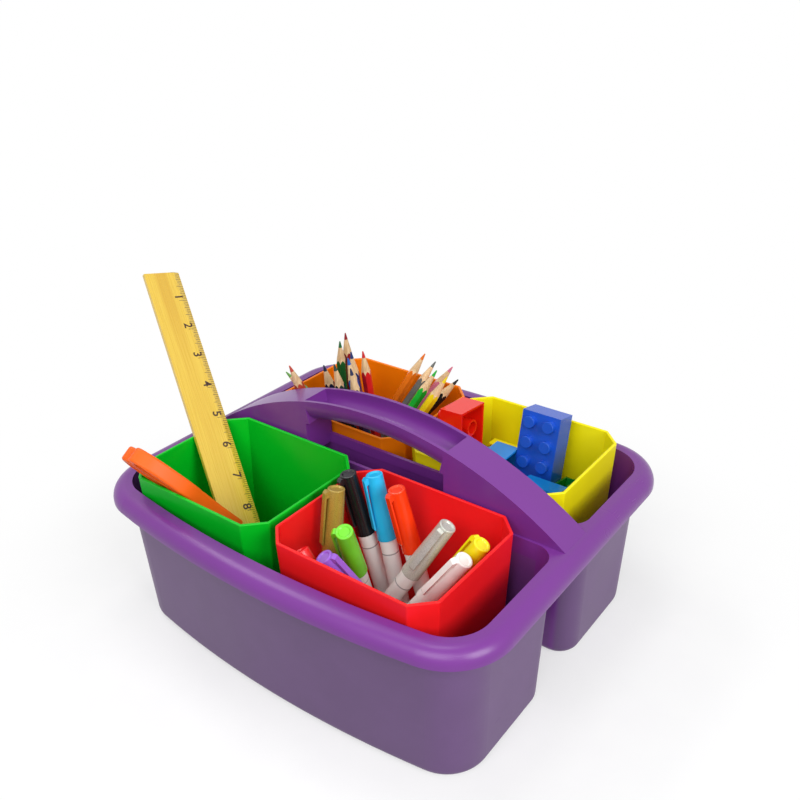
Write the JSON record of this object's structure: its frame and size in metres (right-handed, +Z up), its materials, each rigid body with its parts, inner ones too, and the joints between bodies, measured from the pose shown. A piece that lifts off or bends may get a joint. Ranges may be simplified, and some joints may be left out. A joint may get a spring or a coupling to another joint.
{
  "type": "art supply caddy",
  "caption": "Two-bin art supply caddy with a bowed carrying handle and lift-out cups holding markers, pencils, toy bricks, a ruler and scissors.",
  "frame": {"origin": "centre of the caddy's footprint on the surface it stands on, under the middle of the handle", "axes": "+X along the handle and the long side, +Y from the bin with the marker cup towards the bin with the pencil cup, +Z up"},
  "size_m": [0.385, 0.298, 0.2313],
  "materials": {
    "caddy_plastic": "gloss",
    "cup_green_plastic": "gloss",
    "cup_red_plastic": "gloss",
    "cup_orange_plastic": "gloss",
    "cup_yellow_plastic": "gloss",
    "ruler_wood": "satin",
    "scissor_steel": "satin",
    "scissor_handle_plastic": "gloss",
    "marker_barrel_plastic": "gloss",
    "marker_gold_ink": "gloss",
    "marker_black_ink": "gloss",
    "marker_sky_ink": "gloss",
    "marker_vermilion_ink": "gloss",
    "marker_lime_ink": "gloss",
    "marker_grey_ink": "gloss",
    "marker_white_ink": "gloss",
    "marker_yellow_ink": "gloss",
    "marker_purple_ink": "gloss",
    "marker_red_ink": "gloss",
    "pencil_navy_a_paint": "gloss",
    "pencil_navy_b_paint": "gloss",
    "pencil_dark_green_paint": "gloss",
    "pencil_maroon_paint": "gloss",
    "pencil_blue_paint": "gloss",
    "pencil_navy_c_paint": "gloss",
    "pencil_red_paint": "gloss",
    "pencil_dark_blue_paint": "gloss",
    "pencil_orange_paint": "gloss",
    "pencil_grey_paint": "gloss",
    "pencil_green_paint": "gloss",
    "pencil_pink_paint": "gloss",
    "pencil_yellow_paint": "gloss",
    "pencil_black_paint": "gloss",
    "pencil_light_red_paint": "gloss",
    "pencil_light_green_paint": "gloss",
    "brick_blue_plastic": "gloss",
    "brick_sky_front_plastic": "gloss",
    "brick_sky_back_plastic": "gloss",
    "brick_red_plastic": "gloss",
    "brick_yellow_plastic": "gloss",
    "brick_green_plastic": "gloss",
    "brick_tile_plastic": "gloss"
  },
  "bodies": {
    "caddy": {"caddy_body": "caddy_plastic"},
    "cup_green": {"cup_green": "cup_green_plastic"},
    "cup_red": {"cup_red": "cup_red_plastic"},
    "cup_orange": {"cup_orange": "cup_orange_plastic"},
    "cup_yellow": {"cup_yellow": "cup_yellow_plastic", "brick_tile": "brick_tile_plastic", "brick_green": "brick_green_plastic"},
    "ruler": {"ruler": "ruler_wood"},
    "scissors_a": {"scissors_blade_a": "scissor_steel", "scissors_handle_a": "scissor_handle_plastic", "scissors_pivot": "scissor_steel"},
    "scissors_b": {"scissors_blade_b": "scissor_steel", "scissors_handle_b": "scissor_handle_plastic"},
    "marker_gold": {"marker_gold": "marker_barrel_plastic"},
    "marker_gold_cap": {"marker_gold_cap": "marker_gold_ink"},
    "marker_black": {"marker_black": "marker_barrel_plastic"},
    "marker_black_cap": {"marker_black_cap": "marker_black_ink"},
    "marker_sky": {"marker_sky": "marker_barrel_plastic"},
    "marker_sky_cap": {"marker_sky_cap": "marker_sky_ink"},
    "marker_vermilion": {"marker_vermilion": "marker_barrel_plastic"},
    "marker_vermilion_cap": {"marker_vermilion_cap": "marker_vermilion_ink"},
    "marker_lime": {"marker_lime": "marker_barrel_plastic"},
    "marker_lime_cap": {"marker_lime_cap": "marker_lime_ink"},
    "marker_grey": {"marker_grey": "marker_barrel_plastic"},
    "marker_grey_cap": {"marker_grey_cap": "marker_grey_ink"},
    "marker_white": {"marker_white": "marker_barrel_plastic"},
    "marker_white_cap": {"marker_white_cap": "marker_white_ink"},
    "marker_yellow": {"marker_yellow": "marker_barrel_plastic"},
    "marker_yellow_cap": {"marker_yellow_cap": "marker_yellow_ink"},
    "marker_purple": {"marker_purple": "marker_barrel_plastic"},
    "marker_purple_cap": {"marker_purple_cap": "marker_purple_ink"},
    "marker_red": {"marker_red": "marker_barrel_plastic"},
    "marker_red_cap": {"marker_red_cap": "marker_red_ink"},
    "pencil_navy_a": {"pencil_navy_a": "pencil_navy_a_paint"},
    "pencil_navy_b": {"pencil_navy_b": "pencil_navy_b_paint"},
    "pencil_dark_green": {"pencil_dark_green": "pencil_dark_green_paint"},
    "pencil_maroon": {"pencil_maroon": "pencil_maroon_paint"},
    "pencil_blue": {"pencil_blue": "pencil_blue_paint"},
    "pencil_navy_c": {"pencil_navy_c": "pencil_navy_c_paint"},
    "pencil_red": {"pencil_red": "pencil_red_paint"},
    "pencil_dark_blue": {"pencil_dark_blue": "pencil_dark_blue_paint"},
    "pencil_orange": {"pencil_orange": "pencil_orange_paint"},
    "pencil_grey": {"pencil_grey": "pencil_grey_paint"},
    "pencil_green": {"pencil_green": "pencil_green_paint"},
    "pencil_pink": {"pencil_pink": "pencil_pink_paint"},
    "pencil_yellow": {"pencil_yellow": "pencil_yellow_paint"},
    "pencil_black": {"pencil_black": "pencil_black_paint"},
    "pencil_light_red": {"pencil_light_red": "pencil_light_red_paint"},
    "pencil_light_green": {"pencil_light_green": "pencil_light_green_paint"},
    "brick_blue": {"brick_blue": "brick_blue_plastic"},
    "brick_sky_front": {"brick_sky_front": "brick_sky_front_plastic"},
    "brick_sky_back": {"brick_sky_back": "brick_sky_back_plastic"},
    "brick_red": {"brick_red": "brick_red_plastic"},
    "brick_yellow": {"brick_yellow": "brick_yellow_plastic"}
  },
  "joints": [
    {"name": "cup_green_lift", "type": "slide", "parent": "caddy", "child": "cup_green", "axis": [0, 0, 1], "range_m": [0, 0.15]},
    {"name": "cup_red_lift", "type": "slide", "parent": "caddy", "child": "cup_red", "axis": [0, 0, 1], "range_m": [0, 0.15]},
    {"name": "cup_orange_lift", "type": "slide", "parent": "caddy", "child": "cup_orange", "axis": [0, 0, 1], "range_m": [0, 0.15]},
    {"name": "cup_yellow_lift", "type": "slide", "parent": "caddy", "child": "cup_yellow", "axis": [0, 0, 1], "range_m": [0, 0.15]},
    {"name": "ruler_lift", "type": "slide", "parent": "cup_green", "child": "ruler", "axis": [-0.6328, 0.2929, 0.7168], "range_m": [0, 0.18]},
    {"name": "scissors_lift", "type": "slide", "parent": "cup_green", "child": "scissors_a", "axis": [-0.4419, -0.5022, 0.7433], "range_m": [0, 0.2]},
    {"name": "scissors_open", "type": "hinge", "parent": "scissors_a", "child": "scissors_b", "pos_m": [-0.06289, -0.07509, 0.07161], "axis": [-0.0124, -0.8251, -0.5649], "range_deg": [0, 17.5]},
    {"name": "marker_gold_lift", "type": "slide", "parent": "cup_red", "child": "marker_gold", "axis": [-0.0118, 0.1922, 0.9813], "range_m": [0, 0.13]},
    {"name": "marker_gold_uncap", "type": "slide", "parent": "marker_gold", "child": "marker_gold_cap", "axis": [-0.0118, 0.1922, 0.9813], "range_m": [0, 0.045]},
    {"name": "marker_black_lift", "type": "slide", "parent": "cup_red", "child": "marker_black", "axis": [-0.1796, -0.1171, 0.9767], "range_m": [0, 0.13]},
    {"name": "marker_black_uncap", "type": "slide", "parent": "marker_black", "child": "marker_black_cap", "axis": [-0.1796, -0.1171, 0.9767], "range_m": [0, 0.045]},
    {"name": "marker_sky_lift", "type": "slide", "parent": "cup_red", "child": "marker_sky", "axis": [-0.2147, 0.0156, 0.9766], "range_m": [0, 0.13]},
    {"name": "marker_sky_uncap", "type": "slide", "parent": "marker_sky", "child": "marker_sky_cap", "axis": [-0.2147, 0.0156, 0.9766], "range_m": [0, 0.045]},
    {"name": "marker_vermilion_lift", "type": "slide", "parent": "cup_red", "child": "marker_vermilion", "axis": [-0.1838, -0.0939, 0.9785], "range_m": [0, 0.13]},
    {"name": "marker_vermilion_uncap", "type": "slide", "parent": "marker_vermilion", "child": "marker_vermilion_cap", "axis": [-0.1838, -0.0939, 0.9785], "range_m": [0, 0.045]},
    {"name": "marker_lime_lift", "type": "slide", "parent": "cup_red", "child": "marker_lime", "axis": [0.1429, -0.3736, 0.9165], "range_m": [0, 0.13]},
    {"name": "marker_lime_uncap", "type": "slide", "parent": "marker_lime", "child": "marker_lime_cap", "axis": [0.1429, -0.3736, 0.9165], "range_m": [0, 0.045]},
    {"name": "marker_grey_lift", "type": "slide", "parent": "cup_red", "child": "marker_grey", "axis": [0.4673, 0.2062, 0.8597], "range_m": [0, 0.13]},
    {"name": "marker_grey_uncap", "type": "slide", "parent": "marker_grey", "child": "marker_grey_cap", "axis": [0.4673, 0.2062, 0.8597], "range_m": [0, 0.045]},
    {"name": "marker_white_lift", "type": "slide", "parent": "cup_red", "child": "marker_white", "axis": [0.5508, 0.0863, 0.8302], "range_m": [0, 0.13]},
    {"name": "marker_white_uncap", "type": "slide", "parent": "marker_white", "child": "marker_white_cap", "axis": [0.5508, 0.0863, 0.8302], "range_m": [0, 0.045]},
    {"name": "marker_yellow_lift", "type": "slide", "parent": "cup_red", "child": "marker_yellow", "axis": [0.5045, 0.0892, 0.8588], "range_m": [0, 0.13]},
    {"name": "marker_yellow_uncap", "type": "slide", "parent": "marker_yellow", "child": "marker_yellow_cap", "axis": [0.5045, 0.0892, 0.8588], "range_m": [0, 0.045]},
    {"name": "marker_purple_lift", "type": "slide", "parent": "cup_red", "child": "marker_purple", "axis": [-0.3787, -0.3753, 0.846], "range_m": [0, 0.13]},
    {"name": "marker_purple_uncap", "type": "slide", "parent": "marker_purple", "child": "marker_purple_cap", "axis": [-0.3787, -0.3753, 0.846], "range_m": [0, 0.045]},
    {"name": "marker_red_lift", "type": "slide", "parent": "cup_red", "child": "marker_red", "axis": [-0.5502, -0.0333, 0.8343], "range_m": [0, 0.13]},
    {"name": "marker_red_uncap", "type": "slide", "parent": "marker_red", "child": "marker_red_cap", "axis": [-0.5502, -0.0333, 0.8343], "range_m": [0, 0.045]},
    {"name": "pencil_navy_a_lift", "type": "slide", "parent": "cup_orange", "child": "pencil_navy_a", "axis": [0.0746, -0.3507, 0.9335], "range_m": [0, 0.13]},
    {"name": "pencil_navy_b_lift", "type": "slide", "parent": "cup_orange", "child": "pencil_navy_b", "axis": [-0.039, -0.2183, 0.9751], "range_m": [0, 0.13]},
    {"name": "pencil_dark_green_lift", "type": "slide", "parent": "cup_orange", "child": "pencil_dark_green", "axis": [0.1475, -0.1863, 0.9713], "range_m": [0, 0.13]},
    {"name": "pencil_maroon_lift", "type": "slide", "parent": "cup_orange", "child": "pencil_maroon", "axis": [0.0631, -0.1499, 0.9867], "range_m": [0, 0.13]},
    {"name": "pencil_blue_lift", "type": "slide", "parent": "cup_orange", "child": "pencil_blue", "axis": [-0.0708, -0.1651, 0.9837], "range_m": [0, 0.13]},
    {"name": "pencil_navy_c_lift", "type": "slide", "parent": "cup_orange", "child": "pencil_navy_c", "axis": [-0.0313, -0.1959, 0.9801], "range_m": [0, 0.13]},
    {"name": "pencil_red_lift", "type": "slide", "parent": "cup_orange", "child": "pencil_red", "axis": [0.0314, -0.1883, 0.9816], "range_m": [0, 0.13]},
    {"name": "pencil_dark_blue_lift", "type": "slide", "parent": "cup_orange", "child": "pencil_dark_blue", "axis": [0.0236, -0.1808, 0.9832], "range_m": [0, 0.13]},
    {"name": "pencil_orange_lift", "type": "slide", "parent": "cup_orange", "child": "pencil_orange", "axis": [0.4392, 0.2161, 0.872], "range_m": [0, 0.13]},
    {"name": "pencil_grey_lift", "type": "slide", "parent": "cup_orange", "child": "pencil_grey", "axis": [0.3684, 0.4589, 0.8085], "range_m": [0, 0.13]},
    {"name": "pencil_green_lift", "type": "slide", "parent": "cup_orange", "child": "pencil_green", "axis": [0.403, 0.3627, 0.8403], "range_m": [0, 0.13]},
    {"name": "pencil_pink_lift", "type": "slide", "parent": "cup_orange", "child": "pencil_pink", "axis": [0.5608, 0.066, 0.8253], "range_m": [0, 0.13]},
    {"name": "pencil_yellow_lift", "type": "slide", "parent": "cup_orange", "child": "pencil_yellow", "axis": [0.4733, 0.1989, 0.8581], "range_m": [0, 0.13]},
    {"name": "pencil_black_lift", "type": "slide", "parent": "cup_orange", "child": "pencil_black", "axis": [0.6067, 0.1795, 0.7744], "range_m": [0, 0.13]},
    {"name": "pencil_light_red_lift", "type": "slide", "parent": "cup_orange", "child": "pencil_light_red", "axis": [-0.037, -0.3772, 0.9254], "range_m": [0, 0.13]},
    {"name": "pencil_light_green_lift", "type": "slide", "parent": "cup_orange", "child": "pencil_light_green", "axis": [-0.4853, -0.3781, 0.7884], "range_m": [0, 0.13]},
    {"name": "brick_blue_lift", "type": "slide", "parent": "cup_yellow", "child": "brick_blue", "axis": [0, 0.2201, 0.9755], "range_m": [0, 0.25]},
    {"name": "brick_sky_front_lift", "type": "slide", "parent": "cup_yellow", "child": "brick_sky_front", "axis": [0, 0.2201, 0.9755], "range_m": [0, 0.25]},
    {"name": "brick_sky_back_lift", "type": "slide", "parent": "cup_yellow", "child": "brick_sky_back", "axis": [0, 0, 1], "range_m": [0, 0.27]},
    {"name": "brick_red_lift", "type": "slide", "parent": "cup_yellow", "child": "brick_red", "axis": [-0.045, 0.1, 0.994], "range_m": [0, 0.25]},
    {"name": "brick_yellow_lift", "type": "slide", "parent": "cup_yellow", "child": "brick_yellow", "axis": [0, 0, 1], "range_m": [0, 0.28]}
  ],
  "couplings": [
    {"joint": "scissors_open", "follows": "scissors_lift", "rad_per_m": 1.5}
  ]
}
